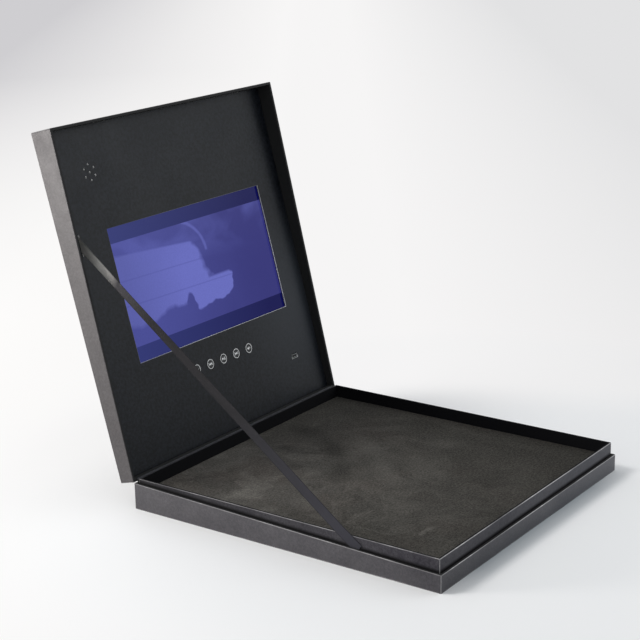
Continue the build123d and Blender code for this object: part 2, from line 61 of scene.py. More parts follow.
# Sizes that the frame's boxes give
LOW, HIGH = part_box("base_wrap")
TRAY_LOW, TRAY_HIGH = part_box("inner_tray_wrap")
PAD_LOW, PAD_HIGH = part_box("foam_pad")
WIDTH = HIGH.x - LOW.x
DEPTH = HIGH.y - LOW.y
HINGE = next(joint for joint in frame["joints"] if joint["name"] == "lid_hinge")
PIVOT = Vector(HINGE["pos_m"])
OPEN_ANGLE = math.radians(HINGE["range_deg"][1])

# Places on the box and, in the closed pose, on the lid
CLOSED_HEIGHT = 40.3 * MM
REAR_RIM = 24.6 * MM
FRONT_RIM = 16.2 * MM
RIM_GAP = 0.6 * MM
OUTER_WALL = 2.5 * MM
SHOULDER_HEIGHT = 28.2 * MM
PANEL_FACE = 32.5 * MM
PANEL_BACK = 34.25 * MM
WINDOW_X = 7.4 * MM
WINDOW_FROM_REAR = 159.2 * MM
WINDOW_WIDTH = 222.7 * MM
WINDOW_HEIGHT = 125.3 * MM
BUTTON_PITCH = 19.9 * MM
BUTTON_FROM_REAR = 71.2 * MM
BUTTON_COUNT = 5
BUTTON_PROUD = 0.1 * MM
PORT_X = 113.9 * MM
PORT_FROM_REAR = 45.8 * MM
PORT_SLOT = (9.4 * MM, 4.7 * MM)
PAPER = 0.25 * MM

# Ribbon stay
RIBBON_WIDTH = 10 * MM
RIBBON_THICKNESS = 0.3 * MM
SLIT_X = -140.2 * MM
SLIT_FROM_REAR = 214 * MM
RIM_POINT_X = -154.65 * MM
RIM_POINT_FROM_REAR = 224.3 * MM
ANCHOR_DROP = 18 * MM
RIBBON_TAIL = 28 * MM

# Hinge strips
STRIP_LENGTH = 303 * MM
STRIP_STEPS = 40
HINGE_LEG = 12 * MM
INNER_STRIP = 0.2 * MM
INNER_STRIP_SEAT = 0.02 * MM
INNER_STRIP_BRIDGE = 0.8 * MM


def from_rear(distance):
    """Y of a place at a distance from the rear face."""
    return HIGH.y - distance


def opened(x, y, z):
    """Where a lid point given in its closed place lies when the lid is open."""
    turn = Matrix.Rotation(-OPEN_ANGLE, 3, "X")
    return PIVOT + turn @ (Vector((x, y, z)) - PIVOT)


# Node helpers

def colour(code):
    """Linear colour of an sRGB code such as 5d5759."""
    channels = [int(code[index:index + 2], 16) / 255 for index in (0, 2, 4)]
    linear = [c / 12.92 if c <= 0.04045 else ((c + 0.055) / 1.055) ** 2.4 for c in channels]
    return (*linear, 1.0)


class Nodes:
    """Short ways to add and join the nodes of a material or a world."""

    def __init__(self, owner):
        owner.use_nodes = True
        self.tree = owner.node_tree
        self.tree.nodes.clear()

    def add(self, kind, **settings):
        node = self.tree.nodes.new("ShaderNode" + kind)
        for key, value in settings.items():
            setattr(node, key, value)
        return node

    def set(self, node, **inputs):
        """Fill a node's sockets by name, where an underscore stands for a space."""
        for key, value in inputs.items():
            self.fill(node.inputs[key.replace("_", " ")], value)
        return node

    def fill(self, socket, value):
        """Link an output into a socket, or write a constant there."""
        if isinstance(value, bpy.types.NodeSocket):
            self.tree.links.new(value, socket)
        elif isinstance(value, str):
            socket.default_value = colour(value)
        else:
            socket.default_value = value

    def place(self, source="Object", scale=(1, 1, 1), turn=(0, 0, 0), move=(0, 0, 0)):
        """Coordinates in metres, scaled, turned and moved."""
        coordinates = self.add("TexCoord")
        mapping = self.set(self.add("Mapping"), Rotation=turn, Scale=scale, Location=move)
        self.tree.links.new(coordinates.outputs[source], mapping.inputs["Vector"])
        return mapping.outputs[0]

    def noise(self, vector, scale, detail=3.0, rough=0.55, distortion=0.0):
        node = self.set(self.add("TexNoise"), Vector=vector, Scale=scale, Detail=detail, Roughness=rough,
                        Distortion=distortion)
        return node.outputs["Fac"]

    def cells(self, vector, scale):
        return self.set(self.add("TexVoronoi"), Vector=vector, Scale=scale).outputs["Distance"]

    def span(self, value, low, high, start=0.0, end=1.0, smooth=False):
        """Value from low to high, mapped to start to end and clamped."""
        node = self.add("MapRange", interpolation_type="SMOOTHSTEP" if smooth else "LINEAR")
        self.set(node, Value=value, From_Min=low, From_Max=high, To_Min=start, To_Max=end)
        return node.outputs[0]

    def clouds(self, vector, scale, detail, rough, low, high, start=0.0, end=1.0):
        """Noise from low to high, mapped to start to end and clamped."""
        return self.span(self.noise(vector, scale, detail, rough), low, high, start, end)

    def math(self, operation, *values, clamp=False):
        node = self.add("Math", operation=operation, use_clamp=clamp)
        for socket, value in zip(node.inputs, values):
            self.fill(socket, value)
        return node.outputs[0]

    def plus(self, first, second, clamp=False):
        return self.math("ADD", first, second, clamp=clamp)

    def minus(self, first, second):
        return self.math("SUBTRACT", first, second)

    def size(self, value):
        return self.math("ABSOLUTE", value)

    def times(self, *factors):
        product = factors[0]
        for factor in factors[1:]:
            product = self.math("MULTIPLY", product, factor)
        return product

    def most(self, *values):
        largest = values[0]
        for value in values[1:]:
            largest = self.math("MAXIMUM", largest, value)
        return largest

    def squares(self, x, y):
        return self.plus(self.times(x, x), self.times(y, y))

    def ellipse(self, x, y, centre, half):
        """Square of the distance from a centre, counted in half axes."""
        off_x, off_y = (self.math("DIVIDE", self.minus(value, middle), reach)
                        for value, middle, reach in zip((x, y), centre, half))
        return self.squares(off_x, off_y)

    def vector(self, operation, *values):
        """Sum or product of vectors, or the value of an operation such as a length or a distance."""
        node = self.add("VectorMath", operation=operation)
        for socket, value in zip(node.inputs, values):
            self.fill(socket, value)
        return node.outputs["Vector" if operation in ("ADD", "MULTIPLY") else "Value"]

    def join(self, **parts):
        """Vector of the given X, Y and Z, which are 0 where they aren't given."""
        return self.set(self.add("CombineXYZ"), **parts).outputs[0]

    def mix(self, share, first, second):
        node = self.add("Mix", data_type="RGBA")
        self.fill(node.inputs[0], share)
        self.fill(node.inputs[6], first)
        self.fill(node.inputs[7], second)
        return node.outputs[2]

    def darken(self, share, tone):
        return self.mix(share, tone, "000000")

    def axes(self, vector):
        return self.set(self.add("SeparateXYZ"), Vector=vector).outputs[:]

    def axis(self, vector, name):
        return self.axes(vector)["XYZ".index(name)]

    def bump(self, height, depth, strength=1.0, normal=None):
        """Bump of a height from 0 to 1 over a depth in metres."""
        node = self.set(self.add("Bump"), Height=height, Distance=depth, Strength=strength)
        if normal is not None:
            self.fill(node.inputs["Normal"], normal)
        return node.outputs[0]

    def showing(self):
        """1 for the rays that see the backdrop itself, and not only its light."""
        path = self.add("LightPath")
        return self.most(*(path.outputs["Is %s Ray" % name] for name in ("Camera", "Glossy", "Transmission")))

    def blend(self, share, first, second):
        """Surface or backdrop between two others."""
        node = self.add("MixShader")
        for socket, value in zip(node.inputs, (share, first.outputs[0], second.outputs[0])):
            self.fill(socket, value)
        return node.outputs[0]

    def closed(self, vector, centre=PIVOT):
        """A lid vector turned back to its place in the closed box."""
        node = self.add("VectorRotate", rotation_type="X_AXIS")
        return self.set(node, Vector=vector, Center=centre, Angle=OPEN_ANGLE).outputs[0]


class Shader(Nodes):
    """Material with a principled surface."""

    def __init__(self, name, **surface):
        self.material = bpy.data.materials.new(name)
        super().__init__(self.material)
        self.surface = self.set(self.add("BsdfPrincipled"), **surface)
        self.output = self.set(self.add("OutputMaterial"), Surface=self.surface.outputs[0])

    def finish(self, **surface):
        """Fill the surface's sockets and give the material."""
        self.set(self.surface, **surface)
        return self.material


def dress(material, *nodes):
    """Give CAD nodes a material."""
    for name in nodes:
        mesh = frame["nodes"][name].data
        mesh.materials.clear()
        mesh.materials.append(material)


def numbered(stem):
    """Names of the five buttons' pieces."""
    return ["%s_%d" % (stem, number + 1) for number in range(BUTTON_COUNT)]


# Materials of board and paper

# Pale line on a fold, part wear and part painted highlight: full up to here, and gone from here on
FOLD_FULL = 0.25 * MM
FOLD_FADES = 0.75 * MM
RIM_FULL = 0.15 * MM
# Height of the shade at the shoulder's foot, and pale margin round the panel's openings
FOOT_SHADE = 4 * MM
CUT_MARGIN = 0.3 * MM


def folds(shade, where, width, depth, rims, flat):
    """Masks of the rim's outer edge, the upright corners, the flat face's edges and the rim's level face."""
    x, y, z = shade.axes(where)
    level = shade.math("MULTIPLY_ADD", y, (rims[0] - rims[1]) / depth, sum(rims) / 2)
    off = shade.size(shade.minus(z, level))
    side = shade.span(shade.size(x), width / 2 - FOLD_FADES, width / 2 - FOLD_FULL)
    end = shade.span(shade.size(y), depth / 2 - FOLD_FADES, depth / 2 - FOLD_FULL)
    outer = shade.most(side, end)
    rim = shade.times(shade.span(off, 0.6 * MM, RIM_FULL), outer)
    level_face = shade.times(shade.math("LESS_THAN", off, 0.1 * MM), shade.minus(1.0, outer))
    near_flat = shade.span(shade.size(shade.minus(z, flat)), 0.9 * MM, RIM_FULL)
    return rim, shade.times(side, end), shade.times(near_flat, outer), level_face


def towards_middle(shade, where, normal, name):
    """1 where the normal points back to the middle along an axis."""
    outward = shade.times(shade.math("SIGN", shade.axis(where, name)), shade.axis(normal, name))
    return shade.math("LESS_THAN", outward, -0.5)


def wrap_paper(name, base, wear_and_highlight_tone, painted_shade_tone, width, depth, rims, flat, rim_wear_and_highlight=1.0, gloss=0.5, painted_rear_shade=0.0,
               foot=None, in_lid=False):
    """Dyed paper over board: fine fibre, faint mottling, pale lines on its folds that are part wear and part
    painted highlight, painted shade on its inner side and its rim's level face, painted shade towards the rear
    where asked, and a painted highlight on faces towards -Y.

    rims are the rim's heights at the rear and the front, flat is the height of the closed side, and foot has
    the heights at which a shoulder goes down behind the outer wall, where it takes painted shade."""
    shade = Shader(name, IOR=1.5, Specular_IOR_Level=gloss)
    where = shade.place()
    normal = shade.add("TexCoord").outputs["Normal"]
    if in_lid:
        where = shade.closed(where)
        normal = shade.closed(normal, (0, 0, 0))
    x, y, z = shade.axes(where)
    mottle = shade.clouds(where, 24, 4, 0.6, 0.3, 0.7)
    fibre = shade.span(shade.noise(shade.place(scale=(1, 1, 2.2)), 1100, 4, 0.75), 0.36, 0.64)
    light = shade.mix(shade.times(mottle, 0.05), base, wear_and_highlight_tone)
    paper = shade.mix(fibre, shade.darken(0.5, light), light)
    grain = shade.clouds(where, 420, 3, 0.7, 0.38, 0.62)
    paper = shade.mix(grain, shade.darken(0.14, paper), shade.mix(0.03, paper, "b0aeb4"))
    # Painted shade: darker towards the rear
    paper = shade.darken(shade.span(y, -0.1, 0.12, 0.0, painted_rear_shade), paper)
    # Painted highlight: faces towards -Y are paler, more so towards +X
    front = shade.math("LESS_THAN", shade.axis(normal, "Y"), -0.9)
    paper = shade.mix(shade.times(front, shade.span(x, -0.16, 0.16, 0.03, 0.2)), paper, "8e9096")
    # Painted shade where the shoulder goes down behind the outer wall
    if foot:
        level = shade.math("MULTIPLY_ADD", y, (foot[0] - foot[1]) / DEPTH, sum(foot) / 2)
        above = shade.minus(z, level)
        paper = shade.darken(shade.span(above, FOOT_SHADE, 0.5 * MM, 0.0, 0.9, smooth=True), paper)
    # Painted shade: faces that look back to the middle, and the rim's level face, take a near-black tone
    inward = shade.plus(towards_middle(shade, where, normal, "X"), towards_middle(shade, where, normal, "Y"),
                        clamp=True)
    paper = shade.mix(inward, paper, painted_shade_tone)
    rim, corner, flat_edge, level_face = folds(shade, where, width, depth, rims, flat)
    if foot:
        level_face = shade.times(level_face, shade.math("LESS_THAN", y, depth / 2 - FOOT_SHADE))
    paper = shade.mix(level_face, paper, painted_shade_tone)
    # Pale lines on the rim, the upright corners and the flat face's edges, part wear and part painted highlight,
    # stronger towards the front
    patchy = shade.clouds(where, 130, 4, 0.7, 0.35, 0.65)
    long_patches = shade.clouds(where, 22, 2, 0.5, 0.35, 0.6, 0.25, 1.0)
    forward = shade.span(y, 0.06, -0.16, 0.35, 1.0)
    wear_and_highlight = shade.most(shade.times(rim, rim_wear_and_highlight), shade.times(flat_edge, 0.45))
    wear_and_highlight = shade.most(shade.times(wear_and_highlight, long_patches, forward), shade.times(corner, 0.85))
    wear_and_highlight = shade.times(wear_and_highlight, shade.most(patchy, 0.6))
    smooth = shade.clouds(where, 50, 3, 0.6, 0.25, 0.75, 0.44, 0.54)
    dull = shade.mix(shade.most(inward, level_face), smooth, (0.85, 0.85, 0.85, 1))
    fine = shade.bump(fibre, 0.03 * MM, 0.5)
    return shade.finish(Base_Color=shade.mix(wear_and_highlight, paper, wear_and_highlight_tone), Roughness=dull,
                        Normal=shade.bump(shade.noise(where, 40, 2, 0.5), 0.3 * MM, 0.3, fine))


def plain_paper(name, base, light, rough, coarse=1800, crease_shade=False):
    """Dyed paper strip or sheet with fibre and soft clouds, and painted shade in a crease along the hinge."""
    shade = Shader(name, IOR=1.45)
    where = shade.place()
    cloud = shade.clouds(where, 30, 4, 0.6, 0.35, 0.65)
    fibre = shade.span(shade.noise(where, coarse, 3, 0.7), 0.3, 0.7)
    tone = shade.mix(shade.times(cloud, 0.5), base, light)
    if crease_shade:
        section = shade.join(Y=shade.axis(where, "Y"), Z=shade.axis(where, "Z"))
        off = shade.vector("DISTANCE", section, (0, PIVOT.y, PIVOT.z))
        # Painted shade in the crease along the hinge
        tone = shade.mix(shade.span(off, 1.1 * MM, 0.5 * MM), tone, "060607")
    dull = shade.clouds(where, 70, 3, 0.6, 0.3, 0.7, rough - 0.04, rough + 0.05)
    return shade.finish(Base_Color=shade.mix(fibre, shade.darken(0.3, tone), tone), Roughness=dull,
                        Normal=shade.bump(fibre, 0.03 * MM, 0.5))


def greyboard(name, shade_below=None):
    """Raw cut board: pale grey with darker fibres and layers. A lid board can be painted whiter, as painted
    light, and dark below a level on its +X side, as painted shade.
    """
    shade = Shader(name, Roughness=0.88, IOR=1.4)
    where = shade.place()
    layers = shade.clouds(where, 2600, 4, 0.7, 0.35, 0.7)
    fibres = shade.clouds(where, 420, 5, 0.65, 0.35, 0.65)
    tone = shade.mix(fibres, "b5b1aa", "cfcbc4")
    tone = shade.mix(shade.times(layers, 0.35), tone, "e6e3dd")
    if shade_below:
        # Painted light and shade: whiter near the panel's face, and dark and bluish deeper in the cut on the +X
        # side
        place = shade.closed(where)
        below = shade.span(shade.axis(place, "Z"), shade_below, shade_below + 0.2 * MM)
        beside = shade.span(shade.axis(place, "X"), 0.0, WINDOW_X)
        tone = shade.mix(shade.times(below, beside), shade.mix(fibres, "e8e7e4", "ffffff"), "302e40")
    return shade.finish(Base_Color=tone, Normal=shade.bump(layers, 0.05 * MM, 0.6))


def cut_edge(shade, x, y, centre, size):
    """1 within a margin outside an opening of the panel, given in the closed pose."""
    off = [shade.minus(shade.size(shade.minus(value, middle)), span / 2)
           for value, middle, span in zip((x, y), centre, size)]
    return shade.span(shade.most(*off), CUT_MARGIN, CUT_MARGIN * 0.6)


def panel_paper():
    """Fine black paper of the screen panel: soft clouds, a pale area of painted sheen towards +X, a few marks,
    and pale cut edges.
    """
    shade = Shader("panel_paper", IOR=1.5, Specular_IOR_Level=0.17)
    where = shade.place()
    cloud = shade.clouds(where, 7, 3, 0.5, 0.35, 0.65)
    base = shade.mix(cloud, "0b0f13", "101418")
    speck = shade.clouds(where, 1300, 4, 0.75, 0.36, 0.66)
    tone = shade.mix(speck, shade.darken(0.5, base), base)
    grain = shade.clouds(where, 360, 3, 0.7, 0.38, 0.62)
    tone = shade.mix(grain, shade.darken(0.22, tone), shade.mix(0.03, tone, "8a90a8"))
    slanted = shade.place(scale=(1, 4, 4), turn=(0, 0.5, 0))
    rubs = shade.span(shade.noise(slanted, 22, 5, 0.7, 1.5), 0.66, 0.8)
    tone = shade.mix(shade.times(rubs, 0.12), tone, "4a4e52")
    flat = shade.closed(where)
    x, y, _ = shade.axes(flat)
    # Painted sheen: a pale area round a point towards +X
    painted_sheen = shade.vector("DISTANCE", flat, (0.135, from_rear(0.1), PANEL_FACE))
    tone = shade.mix(shade.span(painted_sheen, 0.12, 0.0, 0.0, 0.62, smooth=True), tone, "3a3e44")
    window_y = from_rear(WINDOW_FROM_REAR)
    port_y = from_rear(PORT_FROM_REAR)
    window = shade.times(
        cut_edge(shade, x, y, (WINDOW_X, window_y), (WINDOW_WIDTH, WINDOW_HEIGHT)),
        shade.span(y, window_y, window_y - WINDOW_HEIGHT / 2, 1.0, 0.2),
        shade.span(x, WINDOW_X - 0.45 * WINDOW_WIDTH, WINDOW_X, 0.2, 1.0))
    port = shade.times(cut_edge(shade, x, y, (PORT_X, port_y), PORT_SLOT), shade.math("GREATER_THAN", y, port_y),
                       0.6)
    edges = shade.times(shade.most(window, port), shade.span(cloud, 0, 1, 0.75, 1.0))
    return shade.finish(Base_Color=shade.mix(edges, tone, "f4f4f4"),
                        Roughness=shade.clouds(where, 20, 4, 0.6, 0.3, 0.7, 0.34, 0.42),
                        Normal=shade.bump(speck, 0.025 * MM, 0.4))


# Materials of the soft pieces

def swept_place(shade, where, x, y):
    """Coordinates that run slowly round a point and fast away from it, for marks swept in arcs."""
    aside = shade.minus(shade.axis(where, "X"), x)
    beyond = shade.minus(shade.axis(where, "Y"), y)
    away = shade.math("SQRT", shade.squares(aside, beyond))
    turn = shade.math("ARCTAN2", beyond, aside)
    place = shade.join(X=shade.times(away, 24.0), Y=shade.times(turn, 2.0))
    return shade.vector("ADD", place, shade.join(X=shade.times(shade.noise(where, 9, 4, 0.6), 3.2)))


# Rubbed and darker marks on the foam: x and y, half length, half width, turn in degrees, and how pale they
# are (or how dark, below 0)
MARKS = (
    (0.050, 0.120, 0.034, 0.018, 75, -0.65),
    (0.022, 0.069, 0.044, 0.019, 49, -0.85),
    (-0.021, 0.031, 0.036, 0.016, 31, -0.65),
    (0.125, 0.029, 0.036, 0.024, 20, -0.5),
    (0.052, 0.050, 0.044, 0.016, 53, 0.2),
    (0.002, -0.004, 0.046, 0.014, 44, 0.18),
    (0.094, -0.014, 0.026, 0.018, 128, 0.38),
    (0.034, -0.044, 0.038, 0.014, 35, 0.14),
    (0.076, -0.064, 0.024, 0.009, 5, 0.16),
    (-0.120, 0.083, 0.026, 0.016, -8, 0.06),
    (-0.091, -0.105, 0.015, 0.004, 2, 0.55),
    (0.015, 0.150, 0.018, 0.003, -38, 0.2),
)
MARK_WAVER = 14 * MM


def foam():
    """Dense foam with fine pores, brown-grey clouds and wispy rubbed marks, and painted shade towards the front
    and +X.
    """
    shade = Shader("foam", IOR=1.4, Specular_IOR_Level=0.2, Sheen_Weight=0.03, Sheen_Roughness=0.6,
                   Sheen_Tint="b8b2a6")
    where = shade.place()
    cloud = shade.span(shade.noise(where, 9, 5, 0.62, 0.6), 0.36, 0.64)
    tone = shade.mix(cloud, "4c4a46", "5c5955")
    brown = shade.span(shade.noise(shade.place(move=(3, 1, 0)), 18, 4, 0.6), 0.45, 0.65)
    tone = shade.mix(shade.times(brown, 0.35), tone, "5c514b")
    swept = swept_place(shade, where, -0.12, -0.04)
    wiped = shade.span(shade.noise(swept, 1.0, 5, 0.6, 0.8), 0.46, 0.68)
    tone = shade.mix(shade.times(wiped, 0.5), tone, "8a867f")
    darker = shade.span(shade.noise(swept, 0.8, 4, 0.6, 0.5), 0.46, 0.34)
    tone = shade.mix(shade.times(darker, 0.55), tone, "232120")
    wisps = shade.span(shade.noise(swept, 3.2, 8, 0.75, 1.2), 0.54, 0.74)
    tone = shade.mix(shade.times(wisps, 0.25), tone, "a8a49a")
    ragged = shade.set(shade.add("TexNoise"), Vector=where, Scale=60.0, Detail=4.0).outputs["Color"]
    loose = shade.vector("ADD", where, shade.vector("MULTIPLY", ragged, (MARK_WAVER, MARK_WAVER, MARK_WAVER)))
    for x, y, reach, wide, turn, strength in MARKS:
        middle = Vector((x, y, PAD_HIGH.z)) + Vector((1, 1, 1)) * (MARK_WAVER / 2)
        oval = shade.set(shade.add("Mapping", vector_type="TEXTURE"), Vector=loose, Location=middle,
                         Rotation=(0, 0, math.radians(turn)), Scale=(reach, wide, 1.0))
        away = shade.vector("LENGTH", oval.outputs[0])
        mark = shade.span(away, 1.1, 0.1, 0.0, abs(strength), smooth=True)
        tone = shade.mix(mark, tone, "a8a49c" if strength > 0 else "161514")
    x, y, _ = shade.axes(where)
    # Painted shade: darker towards the front, more at the front edge, and towards +X
    tone = shade.darken(shade.span(y, 0.08, -0.06, 0.0, 0.5), tone)
    tone = shade.darken(shade.span(shade.plus(x, shade.times(cloud, 0.04)), -0.03, 0.13, 0.0, 0.72), tone)
    tone = shade.darken(shade.span(y, -0.06, -0.15, 0.0, 0.25), tone)
    pores = shade.span(shade.cells(where, 900), 0.1, 0.55)
    grit = shade.clouds(where, 520, 5, 0.8, 0.36, 0.64)
    tone = shade.mix(grit, shade.darken(0.5, tone), shade.mix(0.14, tone, "9a968c"))
    tone = shade.mix(pores, shade.darken(0.3, tone), tone)
    fine = shade.bump(pores, 0.12 * MM, 0.6)
    return shade.finish(Base_Color=tone, Roughness=0.92, Normal=shade.bump(grit, 0.15 * MM, 0.5, fine))


def ribbon_cloth():
    """Woven ribbon: fine ribs across it, threads along it, plain selvedges, lighter towards its lower end, and
    painted light that makes it paler towards the slit.
    """
    shade = Shader("ribbon", IOR=1.45, Specular_IOR_Level=0.15)
    u, v, _ = shade.axes(shade.place("UV"))
    rib = shade.span(shade.math("SINE", shade.times(v, 2 * math.pi / (0.55 * MM))), -1, 1)
    thread = shade.span(shade.math("SINE", shade.times(u, 2 * math.pi / (0.4 * MM))), -1, 1)
    weave = shade.plus(shade.times(rib, 0.6), shade.times(thread, 0.4))
    selvedge = shade.span(shade.size(shade.minus(u, RIBBON_WIDTH / 2)), 4.1 * MM, 4.5 * MM)
    cloud = shade.span(shade.noise(shade.place("UV", scale=(1.5, 0.35, 1)), 90, 4, 0.6), 0.3, 0.7)
    tone = shade.mix(cloud, "131315", "1c1b1e")
    tone = shade.mix(shade.span(v, 0.16, 0.02, 0.0, 0.6), tone, "3c3c44")
    # Painted light: paler in steps towards the slit end, which lies in the lid wall's shadow
    tone = shade.mix(shade.span(v, 0.27, 0.315), tone, "363538")
    tone = shade.mix(shade.span(v, 0.318, 0.342), tone, "b0aeaa")
    tone = shade.mix(shade.times(weave, 0.4), tone, shade.mix(0.12, tone, "8a888a"))
    tone = shade.mix(shade.times(selvedge, 0.5), tone, "19191b")
    return shade.finish(Base_Color=tone, Roughness=shade.span(weave, 0, 1, 0.85, 0.72),
                        Normal=shade.bump(weave, 0.06 * MM, 0.5))


# Materials of the screen, the prints and the pieces inside

# Share of the display's height that each darker bar takes
BAR_SHARE = 0.115


def painted_reflection(shade, u, v, across, up, drift):
    """Painted reflection on the picture: a wide pale patch, a round one with a notch between them, and a thin
    arc.
    """
    wide = shade.times(
        shade.span(shade.plus(across, shade.times(v, 0.29)), 0.71, 0.68),
        shade.span(shade.plus(v, shade.times(u, 0.12)), 0.80, 0.785),
        shade.span(up, 0.26, 0.29))
    inside = shade.span(shade.ellipse(across, up, (0.50, 0.37), (0.165, 0.16)), 1.0, 0.88)
    outside = shade.span(shade.ellipse(across, v, (0.393, 0.275), (0.04, 0.09)), 0.8, 1.2)
    rounded = shade.times(inside, shade.span(v, 0.44, 0.42), outside)
    arc_x = shade.times(shade.minus(shade.plus(u, shade.times(drift, 0.15)), 0.4176), WINDOW_WIDTH / MM)
    arc_y = shade.times(shade.minus(v, 0.6305), WINDOW_HEIGHT / MM)
    arc_off = shade.math("SQRT", shade.squares(arc_x, arc_y))
    line = shade.span(shade.size(shade.minus(arc_off, 34.0)), 2.4, 0.8)
    arc = shade.times(line, shade.span(arc_x, 0.0, 6.0), shade.span(arc_y, 0.0, 2.0), 0.55)
    return shade.most(shade.times(wide, outside), rounded, arc)


def lit_screen():
    """Lit display behind its polarizer: blue-violet picture area between two darker bars, with a painted
    reflection of pale patches.
    """
    shade = Shader("lit_screen", IOR=1.5, Roughness=0.2, Specular_IOR_Level=0.08, Emission_Strength=1.0)
    where = shade.closed(shade.place())
    u = shade.span(shade.axis(where, "X"), WINDOW_X - WINDOW_WIDTH / 2, WINDOW_X + WINDOW_WIDTH / 2)
    bottom = from_rear(WINDOW_FROM_REAR - WINDOW_HEIGHT / 2)
    v = shade.span(shade.axis(where, "Y"), bottom, bottom - WINDOW_HEIGHT)
    drift = shade.clouds(where, 26, 3, 0.55, 0.25, 0.75, -0.05, 0.05)
    lift = shade.span(shade.noise(shade.place(move=(0.7, 0.2, 0.4)), 22, 3, 0.55), 0.25, 0.75, -0.05, 0.05)
    across = shade.plus(u, drift)
    picture = shade.mix(shade.span(across, 0.05, 0.95, smooth=True), "464a94", "313176")
    # Painted reflection: pale patches on the picture
    painted_light = painted_reflection(shade, u, v, across, shade.plus(v, lift), drift)
    picture = shade.mix(painted_light, picture, shade.mix(shade.span(u, 0.05, 0.4), "575ca6", "676cbe"))
    # Faint seams across the painted reflection
    wave = shade.math("SINE", shade.plus(shade.times(v, 34.0), u))
    picture = shade.mix(shade.times(painted_light, shade.span(wave, 0.97, 1.0), 0.3), picture, "42468e")
    slanted = shade.place(turn=(0, 0.9, 0), scale=(1, 1, 2.0))
    streaks = shade.span(shade.noise(slanted, 11, 3, 0.5, 0.8), 0.5, 0.64)
    picture = shade.mix(shade.times(streaks, shade.span(v, 0.55, 0.8), 0.4), picture, "5b60b0")
    bars = shade.most(shade.math("LESS_THAN", v, BAR_SHARE), shade.math("GREATER_THAN", v, 1 - BAR_SHARE))
    picture = shade.mix(bars, picture, shade.mix(shade.span(u, 0.0, 0.9), "2d3472", "06084c"))
    fine = shade.clouds(where, 700, 2, 0.6, 0.3, 0.7, 0.0, 0.10)
    return shade.finish(Base_Color=shade.mix(shade.noise(where, 30), "08080c", "0b0b12"),
                        Emission_Color=shade.mix(fine, picture, "23234e"))


def speckled(name, base, light, rough, scale=900.0, depth=0.03):
    """Moulded, painted or coated surface with a fine texture and faint clouds."""
    shade = Shader(name)
    where = shade.place()
    cloud = shade.clouds(where, 45, 4, 0.6, 0.3, 0.7)
    fine = shade.span(shade.noise(where, scale, 3, 0.65), 0.3, 0.7)
    tone = shade.mix(cloud, base, light)
    return shade.finish(Base_Color=shade.mix(shade.times(fine, 0.3), tone, base),
                        Roughness=shade.span(fine, 0, 1, rough - 0.05, rough + 0.06),
                        Normal=shade.bump(fine, depth * MM, 0.4))


def brushed(name, base, light, rough, stretch=(1, 40, 40)):
    """Rolled or brushed metal with fine lines."""
    shade = Shader(name, Metallic=1.0)
    lines = shade.span(shade.noise(shade.place(scale=stretch), 90, 4, 0.65), 0.3, 0.7)
    stain = shade.span(shade.noise(shade.place(), 60, 3, 0.6), 0.35, 0.7)
    tone = shade.mix(lines, base, light)
    return shade.finish(Base_Color=shade.mix(shade.times(stain, 0.25), tone, base),
                        Roughness=shade.span(lines, 0, 1, rough + 0.07, rough - 0.05),
                        Normal=shade.bump(lines, 0.01 * MM, 0.3))


def circuit_board():
    """Green solder mask with tracks, small tinned pads and via holes."""
    shade = Shader("circuit_board", IOR=1.5)
    where = shade.closed(shade.place())
    bricks = shade.set(shade.add("TexBrick"), Vector=where, Scale=260.0, Mortar_Size=0.09)
    tracks = bricks.outputs["Fac"]
    pads = shade.span(shade.cells(where, 420), 0.22, 0.17)
    cloud = shade.clouds(where, 80, 3, 0.6, 0.35, 0.65)
    mask = shade.mix(cloud, "123a26", "184a30")
    tone = shade.mix(shade.times(tracks, 0.6), mask, "2b6a45")
    return shade.finish(Base_Color=shade.mix(pads, tone, "b4b2a6"),
                        Roughness=shade.span(cloud, 0, 1, 0.28, 0.4),
                        Normal=shade.bump(shade.most(tracks, pads), 0.03 * MM, 0.5))


def flat_cable():
    """Flat cable: fine copper lines under an amber film."""
    shade = Shader("flat_cable", IOR=1.5)
    where = shade.place()
    lines = shade.span(shade.math("SINE", shade.times(shade.axis(where, "X"), 2 * math.pi / MM)), -0.3, 0.3)
    cloud = shade.clouds(where, 200, 3, 0.6, 0.3, 0.7)
    film = shade.mix(cloud, "8a5a1c", "9c6a26")
    return shade.finish(Base_Color=shade.mix(shade.times(lines, 0.6), film, "c08a48"),
                        Roughness=shade.span(lines, 0, 1, 0.3, 0.4), Normal=shade.bump(lines, 0.03 * MM, 0.4))


def reed_glass():
    """Clear greenish glass of the reed switch."""
    shade = Shader("reed_glass", IOR=1.5, Transmission_Weight=0.85)
    cloud = shade.noise(shade.place(), 300, 3, 0.6)
    return shade.finish(Base_Color=shade.mix(cloud, "b9cfc2", "d3e2da"),
                        Roughness=shade.span(cloud, 0.3, 0.7, 0.05, 0.14))


# Mesh pieces

def linked(name, data):
    """Object in the scene."""
    obj = bpy.data.objects.new(name, data)
    bpy.context.scene.collection.objects.link(obj)
    return obj


def piece(name, mesh, material):
    """Object for a finished mesh."""
    obj = linked(name, mesh)
    mesh.materials.append(material)
    return obj


def finish_mesh(name, bm, smooth_below=35.0):
    """Mesh from a bmesh, with outward faces and smooth shading across gentle bends."""
    bmesh.ops.recalc_face_normals(bm, faces=bm.faces)
    limit = math.radians(smooth_below)
    for face in bm.faces:
        face.smooth = True
    for edge in bm.edges:
        edge.smooth = len(edge.link_faces) == 2 and edge.calc_face_angle(0.0) < limit
    mesh = bpy.data.meshes.new(name)
    bm.to_mesh(mesh)
    bm.free()
    return mesh


def band(bm, near, far):
    """Faces between two closed rows of vertices."""
    for index, vertex in enumerate(near):
        following = (index + 1) % len(near)
        bm.faces.new((vertex, near[following], far[following], far[index]))


